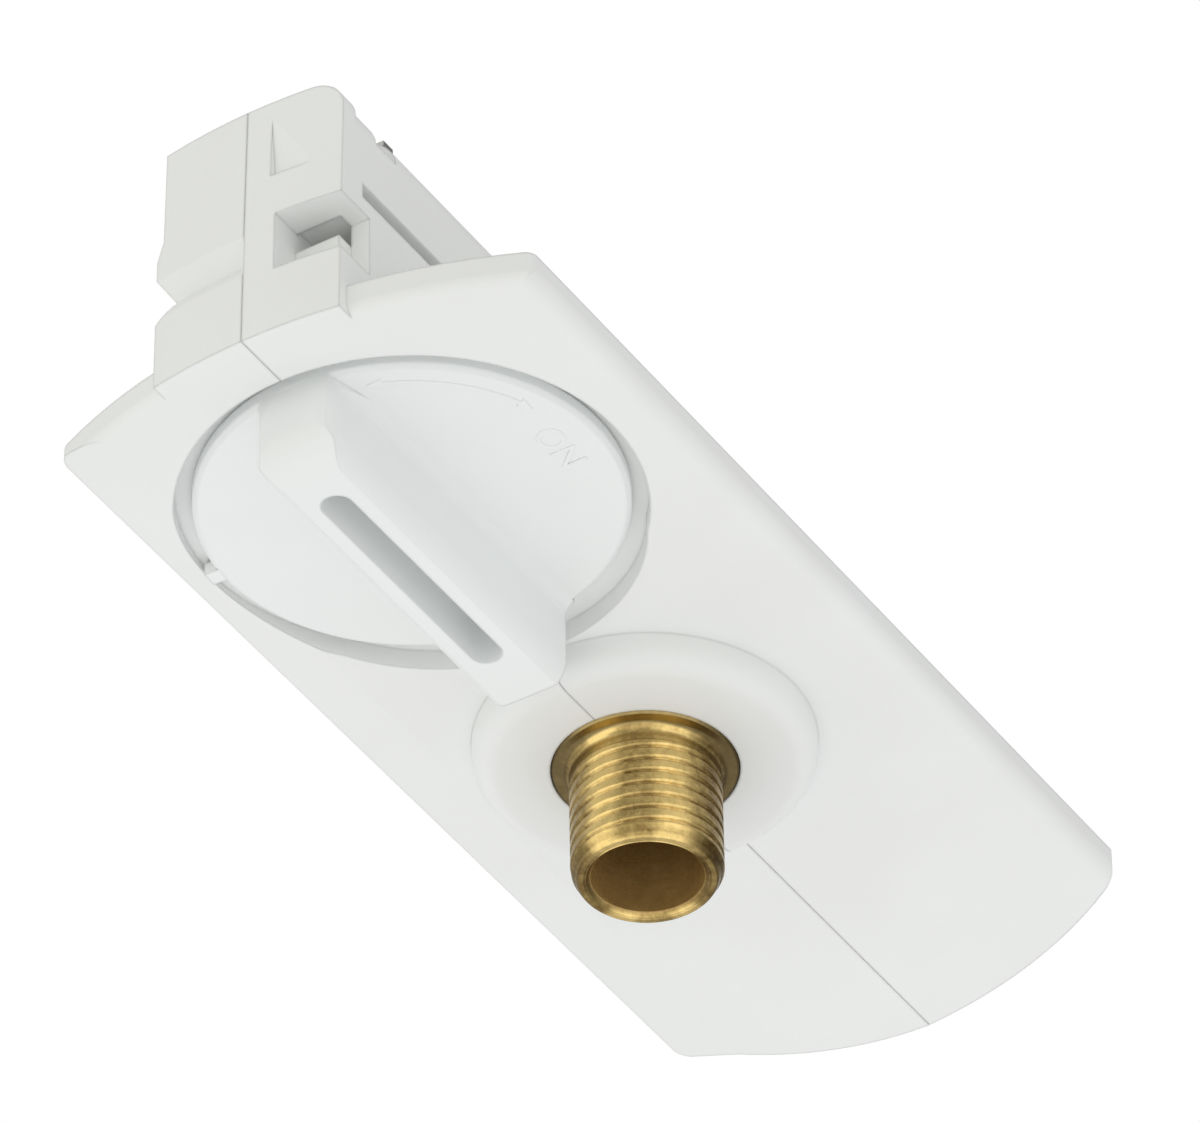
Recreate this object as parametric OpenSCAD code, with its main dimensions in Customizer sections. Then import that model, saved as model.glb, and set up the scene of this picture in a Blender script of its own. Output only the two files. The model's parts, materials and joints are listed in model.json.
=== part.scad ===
// Quarter-turn adapter for a single-circuit lighting track, with a threaded nipple for a pendant.
// X runs along the plate, Z = 0 is the face that seats on the track, and the body stands up into it.
// The origin lies on the nipple's axis. The half shells meet on the plane Y = 0.

/* [Plate] */
// Parting plane to the plate's left edge
plate_left = 17.1; // [16.5:0.1:20]
// Parting plane to the plate's right edge
plate_right = 18.5; // [16.5:0.1:20]
// Thickness of the plate
plate_t = 2.2; // [1.9:0.1:3]
// Nipple axis to the tip of the far end
plate_far = 36.3; // [33:0.1:42]
// Radius of the near end's arc
near_arc_r = 41; // [36:1:70]
// Radius of the far end's arc on the right half
far_right_r = 37; // [30:1:60]
// Radius of the far end's arc on the left half
far_left_r = 20.5; // [19:0.5:40]
// Radius of the near left corner
near_corner_r = 2; // [0.5:0.1:3]
// Radius of the other corners
corner_r = 1; // [0.5:0.1:2]
// Width of the keying bevel along the left edge
key_bevel_w = 4.7; // [3:0.1:6]
// How far the bevelled strip ends before the far tip
key_strip_in = 4.2; // [3.5:0.1:5]
// Thickness left at the bevel's edge
key_edge_t = 0.5; // [0.3:0.1:1]
// Rounding of the right edge's lower corner
rim_r = 1.2; // [0.3:0.1:1.6]
// Rounding of the near edge's lower corner
near_rim_r = 0.9; // [0.3:0.1:1.6]

/* [Boss] */
// Radius of the boss round the nipple
boss_r = 11.3; // [10:0.1:12.5]
// Height of the boss below the plate
boss_h = 2.33; // [1.9:0.01:3.5]
// Rounding of the boss's edge
boss_round = 1.6; // [0.5:0.1:1.8]

/* [Body] */
// Parting plane to the body's right side
body_right = 7; // [6.7:0.1:8]
// Parting plane to the body's lower left side
body_left = 7.1; // [6.7:0.1:8]
// How much narrower the upper left side is
shoulder_in = 0.5; // [0.3:0.1:1]
// Rounding of the upper right edge
body_corner_r = 3.2; // [0.5:0.1:3.4]
// Rounding of the same edge on the near end block
end_corner_r = 2.3; // [0.5:0.1:3]
// Length of the near end block
end_block_l = 2.4; // [1.5:0.1:3.5]
// Thickness of the body's far end
far_wall = 4.6; // [4.4:0.1:5.5]
// How far the near end face stands proud of the plate
body_proud = 0.8; // [0.5:0.1:2]
// How far the near end face leans back at the top
end_lean = 0.6; // [0.5:0.1:1.8]
// Half width of the inner cavity
cavity_half_w = 4.6; // [4.5:0.05:4.8]
// Thickness of the top wall
top_wall = 1.5; // [1:0.1:2.5]
// Depth of the keying groove in the left side
groove_d = 1.2; // [0.5:0.1:1.3]
// Height of the groove's lower edge above the seat
groove_z = 3; // [2.95:0.05:3.6]
// Gap along the parting line
parting_gap = 0.04; // [0.04:0.01:0.2]

/* [Near end] */
// Lowest point of the corner pocket
pocket_z = 2.9; // [2.5:0.1:3.5]
// Height of the corner pocket
pocket_h = 4.7; // [4:0.1:5]
// Width of the corner pocket from the right side
pocket_w = 4.7; // [3.5:0.1:5]
// Length of the corner pocket along the right side
pocket_l = 4; // [3.5:0.1:4.5]
// Depth of the corner pocket behind the end face
pocket_d = 2.6; // [2:0.1:3]
// Depth of the shallow panel beside the parting rib
panel_d = 0.5; // [0.2:0.05:0.7]
// Width of the rib beside the parting line
rib_w = 1.9; // [1:0.1:2.5]
// Depth of the groove across the left half's end face
lip_setback = 1; // [0.5:0.1:1.2]

/* [Knob] */
// Radius of the knob's disc
knob_r = 14; // [13:0.1:14.5]
// Ring gap between disc and plate
knob_gap = 1.15; // [0.9:0.05:1.3]
// Clear distance between disc and boss
knob_offset = 2.7; // [2.5:0.1:4]
// Depth of the round recess in the plate
recess_depth = 1.5; // [1.3:0.05:1.6]
// How far the disc's face lies inside the plate
knob_recess = 0.2; // [0:0.05:0.4]
// Height of the bar above the disc
bar_h = 5.9; // [4:0.1:7]
// Width of the bar
bar_w = 5.8; // [5:0.1:7]
// Height of the bar's rounded shoulders
bar_shoulder_h = 1.6; // [1:0.1:1.8]
// Radius of the bar's rounded shoulders
bar_shoulder_r = 2; // [1.8:0.1:2.4]
// Rounding of the bar's near end
bar_end_round = 2.6; // [0.5:0.1:3.5]
// Radius of the near end's upright edges
bar_corner_r = 0.9; // [0.3:0.1:1.5]
// Fillet between bar and disc
bar_fillet = 0.8; // [0.3:0.1:1.2]
// Length of the slot in the bar's top
bar_slot_l = 19.4; // [14:0.1:21]
// Width of the slot in the bar's top
bar_slot_w = 2.1; // [1.2:0.1:2.4]
// Depth of the slot in the bar's top
bar_slot_d = 2.2; // [0.8:0.1:3]
// Radius of the knob's hub
hub_r = 4; // [3.6:0.05:4.1]
// Across the flats of the square stem
stem_w = 4; // [3.2:0.1:4.2]

/* [Locking rotor] */
// Height of the locking cam above the seat
cam_lift = 1.8; // [1.6:0.1:2.5]
// Thickness of the locking cam
cam_t = 2.2; // [1.6:0.1:2.6]
// Reach of the locking cam
cam_r = 11; // [9.5:0.1:11.5]
// Width of the cam's arms
cam_w = 6; // [5:0.1:7]
// Height of the rotor's body between cam and blades
rotor_h = 5; // [4.6:0.1:6]
// Radius of the rotor's body
rotor_r = 4.2; // [4:0.05:4.3]
// Radius of the rotor's upper journal
journal_r = 2.6; // [2.5:0.05:2.8]
// Reach of the contact blades
blade_r = 16.2; // [15:0.1:16.8]
// Width of the contact blades
blade_w = 3.6; // [3:0.1:4.2]
// Thickness of the contact blades
blade_t = 0.8; // [0.5:0.05:1]
// Wall between the blade's reach and the plate's near tip
near_wall = 2.7; // [2.5:0.1:4]

/* [Nipple] */
// Radius of the nipple's thread
thread_r = 5; // [4.8:0.05:5.1]
// Radius of the cable way
bore_r = 3.7; // [3.5:0.05:4.2]
// Length of the nipple below the boss
nipple_reach = 9.1; // [7:0.1:14]
// Radius of the collar
collar_r = 6.14; // [5.8:0.02:6.6]
// Thickness of the collar
collar_t = 1.3; // [0.8:0.1:1.8]
// Wall of the ring nut outside its thread
nut_wall = 0.9; // [0.7:0.05:0.95]
// Height of the ring nut
nut_h = 1.8; // [1.4:0.1:1.85]

/* [Terminals] */
// Length of a terminal block
term_l = 6.5; // [5.5:0.1:6.8]
// Width of a terminal block
term_w = 4; // [3.6:0.05:4.05]
// Height of a terminal block
term_h = 6; // [5:0.1:6.4]
// Radius of the wire hole
wire_r = 1.3; // [1:0.05:1.5]
// Radius of the clamp screws
clamp_r = 1.4; // [1.1:0.05:1.5]
// Thickness of the contact strips
strip_t = 0.5; // [0.3:0.05:0.6]
// Height of the contact strips
strip_h = 1.6; // [1.2:0.1:1.8]

/* [Housing screws] */
// Radius of the screw's shank
screw_r = 1; // [0.8:0.05:1.1]
// Radius of the screw's head
screw_head_r = 2.1; // [1.8:0.05:2.2]
// Height of the screw's head
screw_head_h = 1.2; // [0.9:0.1:1.3]

/* [Fits] */
// Running clearance of a shaft in its hole
run_fit = 0.05; // [0.02:0.01:0.1]
// Clearance between fitted pieces that do not turn
seat_fit = 0.06; // [0.03:0.01:0.12]
// Clearance round moving pieces
swing_fit = 0.3; // [0.2:0.05:0.4]

/* [Hidden] */
$fn = 96;

// How far a cut runs past the face it opens
over = 1;

// Colours
shell_white = [0.92, 0.93, 0.93];
knob_white = [0.94, 0.95, 0.95];
brass_gold = [0.72, 0.56, 0.28];
contact_copper = [0.74, 0.48, 0.30];
steel_grey = [0.66, 0.67, 0.69];
insulator_grey = [0.35, 0.36, 0.38];

// Levels, from the nipple's tip up to the top of the body
under_z = -plate_t;
boss_z = under_z - boss_h;
tip_z = boss_z - nipple_reach;
recess_z = under_z + recess_depth;
face_z = under_z + knob_recess;
disc_gap = 0.25;
disc_top = recess_z - disc_gap;
bar_z = face_z - bar_h;
cam_z = cam_lift;
rotor_z = cam_z + cam_t;
blade_z = rotor_z + rotor_h;
finger_gap = 0.4;
strip_z = blade_z + blade_t + finger_gap;
web_gap = 1.2;
web_z = strip_z + strip_h + web_gap;
web_t = 1.6;
journal_top = web_z + web_t - swing_fit;
earth_t = 0.4;
earth_gap = 0.45;
earth_z = web_z + web_t + earth_gap;
cavity_z = earth_z + earth_t + earth_gap;
body_h = cavity_z + top_wall;

// Places along X
knob_x = -(boss_r + knob_r + knob_offset);
recess_r = knob_r + knob_gap;
plate_near = knob_x - blade_r - near_wall;
body_near = plate_near - body_proud;
wing_room = 0.7;
wing_near = knob_x - blade_r - wing_room;
wing_far = knob_x + blade_r + wing_room;
cam_room = 1.5;
rotor_room = cam_r + cam_room;
bulkhead_t = 3;
bulkhead_x = wing_far + bulkhead_t;
term_offset = 6.5;
term_x = thread_r + term_offset;
term_gap = 1.5;
earth_term_x = term_x + term_l + term_gap;
term_room = 0.4;
term_end = earth_term_x + term_l + term_room;
body_far = term_end + far_wall;
term_y = 0.35;
term_z = 3;
term_top = term_z + term_h;

// Knob recess: a second circle widens it towards the boss
relief_shift = 3.05;
relief_wall = 0.3;
relief_r = knob_r + knob_offset - relief_shift - relief_wall;

// Nipple stack inside the body
tag_t = 0.5;
tag_room = 0.2;
tag_leg_in = 1;
tag_leg_x = earth_term_x + tag_leg_in;
washer_t = 0.4;
nut_z = tag_t + washer_t;
nut_r = thread_r + nut_wall;
nut_top = nut_z + nut_h;
nipple_top = nut_top;
nut_room = 0.15;
thread_fit = 0.05;

// Room for the contact strips beside the wall and in the bulkhead
wall_room = 0.1;
strip_room = 0.25;

// Earth contact: the hump that stands out of the top, and the strip's width
hump_reach = 11.2;
hump_x = knob_x - hump_reach;
hump_half = 1.5;
crest_half = 1;
hump_h = 0.5;
tip_half = 0.55;
tip_out = 1;
notch_off = 1.4;
notch_l = 2.3;
notch_d = 2.9;
notch_in = 1.6;
earth_y = -cavity_half_w + wall_room;
earth_w = 3;

// Housing screws: places in X and Z, driven in from the left
screw_z = (strip_z + strip_h + earth_z) / 2;
screw_wall = 1.4;
head_wall = 0.4;
screw_places = [
    [knob_x - rotor_room - screw_head_r - head_wall, screw_z],
    [bulkhead_x - screw_wall - screw_r, screw_z],
    [term_end + far_wall / 2, screw_z]];
screw_end_wall = 1.9;

// Left side's shoulder and groove levels
groove_lower = 1;
groove_floor = 0.8;
groove_upper = 2;
shoulder_gap = 1.6;
shoulder_z = groove_z + groove_lower + groove_floor + groove_upper + shoulder_gap;
shoulder_rise = 1.5;

// Fingers of the contact strips, over the blades
finger_r = 3.5;
finger_w = 1.2;
strip_foot_in = 1;
screw_clear = 0.4;

// Small helpers

module along_x(x0, x1) {
    translate([x0, 0, 0])
        rotate([90, 0, 90])
            linear_extrude(x1 - x0)
                children();
}

module along_y(y0, y1) {
    translate([0, y1, 0])
        rotate([90, 0, 0])
            linear_extrude(y1 - y0)
                children();
}

module block(low, high) {
    translate(low)
        cube(high - low);
}

module span(x0, x1, y0, y1) {
    translate([x0, y0])
        square([x1 - x0, y1 - y0]);
}

module at_knob() {
    translate([knob_x, 0, 0])
        children();
}

// Plate

// The corner circles stand this much proud, so that they cross the edges instead of touching them
corner_overlap = 0.02;
near_centre = [plate_near + near_arc_r, (plate_left - plate_right) / 2];
far_skew = 3.6;
far_right_centre = [plate_far - sqrt(pow(far_right_r, 2) - pow(far_skew, 2)), far_skew];
far_left_centre = [plate_far - far_left_r, 0];
strip_end = plate_far - key_strip_in;
strip_y = plate_left - key_bevel_w;

// Centre of the fillet between a long edge and an end arc
function fillet_centre(edge, arc, arc_r, way, r) =
    let (y = sign(edge) * (abs(edge) - r))
    [arc[0] + way * sqrt(pow(arc_r - r, 2) - pow(y - arc[1], 2)), y];

// What the rounding takes off the corner between a long edge and an end arc
module corner_cut(edge, arc, arc_r, way, r) {
    c = fillet_centre(edge, arc, arc_r, way, r);
    out = (c - arc) / (arc_r - r);
    far = r + over;
    difference() {
        polygon([c, c + [0, sign(edge)] * far, c + [way, sign(edge)] * 2 * far, c + out * far]);
        translate(c)
            circle(r + corner_overlap);
    }
}

// Near end: an arc that runs into the straight sides
module near_end() {
    translate(near_centre)
        circle(near_arc_r, $fn = 180);
    span(near_centre[0], plate_far, -plate_right - over, plate_left + over);
}

// Far end: one arc on each half, and beside them the bevelled strip that ends square and shorter
module far_end() {
    intersection() {
        translate(far_right_centre)
            circle(far_right_r, $fn = 180);
        span(0, plate_far, -plate_right - over, 0);
    }
    intersection() {
        translate(far_left_centre)
            circle(far_left_r, $fn = 180);
        span(far_left_centre[0], plate_far, -parting_gap / 4, strip_y);
    }
    span(plate_near, far_left_centre[0] + over, -plate_right - over, plate_left);
    difference() {
        span(plate_near, strip_end, 0, plate_left);
        difference() {
            span(strip_end - corner_r, strip_end + over, plate_left - corner_r, plate_left + over);
            translate([strip_end - corner_r, plate_left - corner_r])
                circle(corner_r + corner_overlap);
        }
    }
}

module plate_outline() {
    difference() {
        intersection() {
            span(plate_near, plate_far, -plate_right, plate_left);
            near_end();
            far_end();
        }
        corner_cut(plate_left, near_centre, near_arc_r, -1, near_corner_r);
        corner_cut(-plate_right, near_centre, near_arc_r, -1, corner_r);
        corner_cut(-plate_right, far_right_centre, far_right_r, 1, corner_r);
    }
}

// Section across the plate: bevelled left edge, rounded right edge
module plate_section() {
    difference() {
        span(-plate_right, plate_left, under_z, 0);
        polygon([
            [plate_left - key_bevel_w, under_z],
            [plate_left, -key_edge_t],
            [plate_left + over, -key_edge_t],
            [plate_left + over, under_z - over],
            [plate_left - key_bevel_w, under_z - over]]);
        difference() {
            span(-plate_right - over, -plate_right + rim_r, under_z - over, under_z + rim_r);
            translate([-plate_right + rim_r, under_z + rim_r])
                circle(rim_r);
        }
    }
}

// A ring turned round the near arc's centre, kept on the near side
module near_ring() {
    intersection() {
        translate(near_centre)
            rotate_extrude($fn = 180)
                children();
        block([body_near - over, -plate_right - over, boss_z],
            [near_centre[0], plate_left + over, body_h + over]);
    }
}

module plate() {
    arc_r = near_arc_r - near_rim_r;
    arc_z = under_z + near_rim_r;
    difference() {
        intersection() {
            translate([0, 0, under_z])
                linear_extrude(plate_t)
                    plate_outline();
            along_x(plate_near - over, plate_far + over)
                plate_section();
        }
        near_ring()
            difference() {
                span(arc_r, near_arc_r + over, under_z - over, arc_z);
                translate([arc_r, arc_z])
                    circle(near_rim_r + corner_overlap);
            }
    }
}

module boss() {
    rotate_extrude()
        intersection() {
            span(0, boss_r, boss_z, under_z + plate_t / 2);
            union() {
                span(0, boss_r - boss_round, boss_z, 0);
                span(0, boss_r, boss_z + boss_round, 0);
                translate([boss_r - boss_round, boss_z + boss_round])
                    circle(boss_round);
            }
        }
}

// Body

// What the rounding takes off the upper right edge
module edge_cut(r) {
    difference() {
        span(-body_right - over, -body_right + r, body_h - r, body_h + over);
        translate([-body_right + r, body_h - r])
            circle(r);
    }
}

// Section across the body: keying groove and shoulder on the left, rounded edge on the right
module body_section() {
    groove_y = body_left - groove_d;
    low = groove_z + groove_lower;
    difference() {
        polygon([
            [-body_right, under_z],
            [body_left, under_z],
            [body_left, groove_z],
            [groove_y, low],
            [groove_y, low + groove_floor],
            [body_left, low + groove_floor + groove_upper],
            [body_left, shoulder_z],
            [body_left - shoulder_in, shoulder_z + shoulder_rise],
            [body_left - shoulder_in, body_h],
            [-body_right, body_h]]);
        edge_cut(end_corner_r);
    }
}

// The near end face is a part of a cone round the near arc's centre, and leans back more above lean_z
lean_z = cavity_z / 2;
lower_share = 0.45;
lower_lean = end_lean * lower_share;
end_r = near_arc_r + body_proud;

// Radius of the lower end face, and place of the upper end face on the middle line, at a height
function end_face_r(z) = end_r - lower_lean * (z - under_z) / (lean_z - under_z);
function end_face_x(z) = body_near + lower_lean + (end_lean - lower_lean) * (z - lean_z) / (body_h - lean_z);

module body_side() {
    foot_x = plate_near + plate_t * 2;
    foot_z = under_z + plate_t / 2;
    polygon([
        [body_near - over, under_z],
        [body_near - over, body_h],
        [body_far - lower_lean, body_h],
        [body_far, 0],
        [body_far, foot_z],
        [foot_x, foot_z],
        [foot_x, under_z]]);
}

module body_block() {
    difference() {
        intersection() {
            along_x(body_near - over, body_far + over)
                body_section();
            along_y(-body_right - over, body_left + over)
                body_side();
            union() {
                near_ring()
                    polygon([
                        [0, boss_z],
                        [end_r, boss_z],
                        [end_r, under_z],
                        [end_r - lower_lean, lean_z],
                        [end_r - end_lean, body_h],
                        [end_r - end_lean, body_h + over],
                        [0, body_h + over]]);
                block([near_centre[0] - over, -body_right - over, boss_z],
                    [body_far + over, body_left + over, body_h + over]);
            }
        }
        along_x(body_near + end_block_l, body_far + over)
            edge_cut(body_corner_r);
    }
}

// Cuts in both half shells

module knob_recess_cut() {
    translate([knob_x, 0, boss_z - over])
        cylinder(r = recess_r, h = recess_z - boss_z + over);
    translate([knob_x + relief_shift, 0, boss_z - over])
        cylinder(r = relief_r, h = recess_z - boss_z + over);
    translate([knob_x, 0, under_z])
        cylinder(r = hub_r + run_fit, h = plate_t + over);
}

module rotor_cavity() {
    web_ring = 2.4;
    web_half = journal_r + web_ring;
    difference() {
        block([knob_x - rotor_room, -cavity_half_w, 0], [knob_x + rotor_room, cavity_half_w, cavity_z]);
        block([knob_x - web_half, -cavity_half_w - over, web_z],
            [knob_x + web_half, cavity_half_w + over, web_z + web_t]);
    }
    block([wing_near, -cavity_half_w, blade_z - 2 * swing_fit],
        [wing_far, cavity_half_w, blade_z + blade_t + 2 * swing_fit]);
    translate([knob_x, 0, web_z - over])
        cylinder(r = journal_r + run_fit, h = web_t + 2 * over);
}

// Slots in the side walls through which an arm swings out, one on each side of the knob
module swing_slots(reach, width, z0, z1) {
    for (turn = [0, 180])
        at_knob()
            rotate([0, 0, turn])
                block([-reach - swing_fit, -body_right - over, z0 - swing_fit / 2],
                    [width / 2 + 2 * swing_fit, -cavity_half_w + over, z1 + swing_fit / 2]);
}

module nipple_cuts() {
    translate([0, 0, boss_z - over])
        cylinder(r = collar_r + seat_fit, h = collar_t + over);
    translate([0, 0, boss_z])
        cylinder(r = thread_r + seat_fit, h = -boss_z + over);
    cylinder(r = nut_r + nut_room, h = nut_top + nut_room);
    block([bulkhead_x, -cavity_half_w, 0], [term_x - term_room, cavity_half_w, cavity_z]);
}

module terminal_cavity() {
    block([term_x - over, -cavity_half_w, term_z], [term_end, cavity_half_w, cavity_z]);
    tag_half = earth_w / 2 + tag_room;
    block([0, -tag_half, 0], [tag_leg_x + tag_t + tag_room, tag_half, tag_t + tag_room]);
    block([tag_leg_x - tag_room, -tag_half, 0], [tag_leg_x + tag_t + tag_room, tag_half, term_z + over]);
    translate([0, 0, -seat_fit])
        barrier_card(seat_fit);
}

// Ways through the bulkhead for the contact strips and the earth strip
module strip_notches() {
    x0 = knob_x + rotor_room - over;
    x1 = bulkhead_x + over;
    for (side = [-1, 1]) {
        outer = side * cavity_half_w;
        inner = side * (cavity_half_w - wall_room - strip_t - strip_room);
        block([x0, min(outer, inner), strip_z - strip_room],
            [x1, max(outer, inner), strip_z + strip_h + strip_room]);
    }
    block([x0, -cavity_half_w, earth_z - strip_room], [x1, earth_y + earth_w + strip_room, cavity_z]);
}

module earth_window() {
    block([hump_x - hump_half - earth_gap, -cavity_half_w, earth_z - earth_gap],
        [hump_x + hump_half + earth_gap, earth_y + earth_w + strip_room, body_h + over]);
    block([hump_x - notch_off - notch_l, -body_right - over, body_h - notch_d],
        [hump_x - notch_off, -body_right + notch_in, body_h + over]);
}

module screw_holes() {
    head_y = body_left - shoulder_in - screw_head_h;
    for (p = screw_places)
        translate([p[0], 0, p[1]])
            rotate([90, 0, 0]) {
                translate([0, 0, -head_y])
                    cylinder(r = screw_r + seat_fit, h = head_y + body_right - screw_end_wall);
                translate([0, 0, -body_left - over])
                    cylinder(r = screw_head_r + seat_fit, h = body_left + over - head_y);
            }
}

module housing_shell() {
    difference() {
        union() {
            plate();
            boss();
            body_block();
        }
        knob_recess_cut();
        rotor_cavity();
        swing_slots(blade_r, blade_w, blade_z, blade_z + blade_t);
        swing_slots(cam_r, cam_w, cam_z, cam_z + cam_t);
        nipple_cuts();
        terminal_cavity();
        strip_notches();
        earth_window();
        screw_holes();
    }
}

// Box that holds one side of the parting plane
module half_space(side) {
    reach = plate_right + plate_left;
    y0 = side > 0 ? parting_gap / 2 : -reach;
    y1 = side > 0 ? reach : -parting_gap / 2;
    block([body_near - over, y0, tip_z], [plate_far + over, y1, body_h + over]);
}

// Left half: the keying groove runs on across its end face, with a sharp lip above and a rolled edge below
module housing_left() {
    roll_steps = 8;
    crease_z = groove_z + groove_lower + groove_floor;
    lip_z = crease_z + groove_upper;
    roll_run = crease_z - groove_z;
    roll_r = (pow(lip_setback, 2) + pow(roll_run, 2)) / (2 * lip_setback);
    roll_sweep = asin(roll_run / roll_r);
    roll_centre = end_face_r(groove_z) + corner_overlap - roll_r;
    roll = [for (k = [0 : roll_steps])
        [roll_centre + roll_r * cos(roll_sweep * k / roll_steps),
            groove_z + roll_r * sin(roll_sweep * k / roll_steps)]];
    color(shell_white)
        difference() {
            intersection() {
                housing_shell();
                half_space(1);
            }
            near_ring()
                polygon(concat(
                    [[end_r + over, groove_z]],
                    roll,
                    [[end_face_r(lip_z) + corner_overlap, lip_z], [end_r + over, lip_z]]));
        }
}

// Pocket in the right half's corner, open to both faces, with a window into the body
module corner_pocket() {
    side_d = 1.4;
    window_h = 1.7;
    window_rise = 0.4;
    lintel = 0.2;
    back = body_near + pocket_d;
    top = pocket_z + pocket_h;
    inner = -body_right + pocket_w;
    inside = knob_x - rotor_room + over;
    block([body_near - over, -body_right - over, pocket_z], [back, inner, top]);
    block([body_near - over, -body_right - over, pocket_z],
        [body_near + pocket_l, -body_right + side_d, top]);
    block([back - over, -body_right + side_d, top - window_h], [inside, inner, top]);
    block([back + lintel, -body_right + side_d, top - window_h], [inside, inner, top + window_rise]);
}

// Shallow panel beside the rib: deepest at its lower corner, it runs out to the side and to the top
module end_panel() {
    panel_lift = 1.2;
    panel_top = 1.4;
    panel_z = blade_z + blade_t + panel_lift;
    panel_w = body_right - rib_w;
    panel_x = end_face_x(panel_z);
    rise = body_h - panel_top - panel_z;
    run_out = panel_d / rise * (body_h + over - panel_z);
    translate([panel_x, -body_right, 0])
        rotate([0, 0, -atan(panel_d / panel_w)])
            along_y(-over, panel_w)
                polygon([
                    [-2 * over, panel_z],
                    [0, panel_z],
                    [end_face_x(body_h + over) - panel_x - run_out, body_h + over],
                    [-2 * over, body_h + over]]);
}

module housing_right() {
    color(shell_white)
        difference() {
            intersection() {
                housing_shell();
                half_space(-1);
            }
            corner_pocket();
            end_panel();
        }
}

// Lock knob: disc, bar, hub and square stem in one moulding

// Section across the bar, drawn upside down because the knob hangs below the plate
module bar_section() {
    half = bar_w / 2;
    shoulder = bar_z + bar_shoulder_h;
    foot = face_z - bar_fillet;
    arc_y = half - bar_shoulder_r;
    span(-half, half, shoulder, disc_top);
    intersection() {
        span(-half, half, bar_z, shoulder);
        union() {
            span(-arc_y, arc_y, bar_z, shoulder);
            for (side = [-1, 1])
                translate([side * arc_y, shoulder])
                    circle(bar_shoulder_r);
        }
    }
    for (side = [-1, 1])
        difference() {
            translate([side * (half + bar_fillet / 2), foot + bar_fillet])
                square([bar_fillet, 2 * bar_fillet], center = true);
            translate([side * (half + bar_fillet), foot])
                circle(bar_fillet);
        }
}

// The bar ends just inside the disc's edge
bar_end_in = 0.1;
bar_near = knob_x - knob_r + bar_end_in;
bar_far = knob_x + knob_r - bar_end_in;

// Side view of the bar: the near end rolls over
module bar_side() {
    difference() {
        span(bar_near, bar_far, bar_z, disc_top);
        difference() {
            span(bar_near - over, bar_near + bar_end_round, bar_z - over, bar_z + bar_end_round);
            translate([bar_near + bar_end_round, bar_z + bar_end_round])
                circle(bar_end_round);
        }
    }
}

// Plan of the bar: the near end's upright edges are round, and the fillets taper off before them
module bar_plan() {
    taper = 3;
    half = bar_w / 2;
    straight = half - bar_corner_r;
    x0 = bar_near + bar_corner_r;
    wide = half + bar_fillet;
    polygon([
        [x0, -half],
        [x0 + taper, -wide],
        [bar_far + over, -wide],
        [bar_far + over, wide],
        [x0 + taper, wide],
        [x0, half]]);
    span(bar_near, bar_near + 2 * bar_corner_r, -straight, straight);
    for (side = [-1, 1])
        translate([bar_near + bar_corner_r, side * straight])
            circle(bar_corner_r);
}

module bar_slot() {
    half = bar_slot_l / 2 - bar_slot_w / 2;
    at_knob()
        translate([0, 0, bar_z - over])
            linear_extrude(bar_slot_d + over) {
                span(-half, half, -bar_slot_w / 2, bar_slot_w / 2);
                for (side = [-1, 1])
                    translate([side * half, 0])
                        circle(bar_slot_w / 2);
            }
}

module knob_disc() {
    edge = 0.3;
    at_knob()
        rotate_extrude()
            polygon([
                [0, face_z],
                [knob_r - edge, face_z],
                [knob_r, face_z + edge],
                [knob_r, disc_top],
                [0, disc_top]]);
}

// Index nib in the ring gap
nib_angle = 94;
nib_w = 1.2;
nib_in = 0.1;
nib_out = knob_gap - swing_fit;

module knob_nib() {
    at_knob()
        rotate([0, 0, nib_angle])
            block([knob_r - over, -nib_w / 2, face_z + nib_in], [knob_r + nib_out, nib_w / 2, disc_top]);
}

module lock_knob() {
    screw_hole_l = pin_depth + swing_fit;
    color(knob_white)
        difference() {
            union() {
                knob_disc();
                knob_nib();
                intersection() {
                    along_x(knob_x - knob_r, knob_x + knob_r)
                        bar_section();
                    along_y(-bar_w, bar_w)
                        bar_side();
                    translate([0, 0, bar_z - over])
                        linear_extrude(bar_h + plate_t + over)
                            bar_plan();
                    at_knob()
                        translate([0, 0, bar_z - over])
                            cylinder(r = knob_r, h = bar_h + plate_t + over);
                }
                at_knob()
                    translate([0, 0, disc_top - disc_gap])
                        cylinder(r = hub_r, h = cam_z - disc_top + disc_gap);
                at_knob()
                    translate([-stem_w / 2, -stem_w / 2, cam_z - over])
                        cube([stem_w, stem_w, blade_z - cam_z + over]);
            }
            bar_slot();
            at_knob()
                translate([0, 0, blade_z - screw_hole_l])
                    cylinder(r = pin_screw_r + seat_fit / 2, h = screw_hole_l + over, $fn = 48);
        }
}

// Locking cam: two arms that swing out over the track's lips, each with a lead-in slope
module locking_cam() {
    slope = 8;
    color(insulator_grey)
        at_knob()
            difference() {
                translate([0, 0, cam_z])
                    linear_extrude(cam_t)
                        difference() {
                            union() {
                                intersection() {
                                    circle(cam_r);
                                    span(-cam_r, cam_r, -cam_w / 2, cam_w / 2);
                                }
                                circle(rotor_r);
                            }
                            square(stem_w + 2 * seat_fit, center = true);
                        }
                for (turn = [0, 180])
                    rotate([0, 0, turn])
                        translate([-cam_r - over, -cam_w / 2, cam_z + cam_t / 4])
                            rotate([slope, 0, 0])
                                translate([0, -over, -cam_t])
                                    cube([cam_r - rotor_r, cam_w / 2, cam_t]);
            }
}

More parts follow.
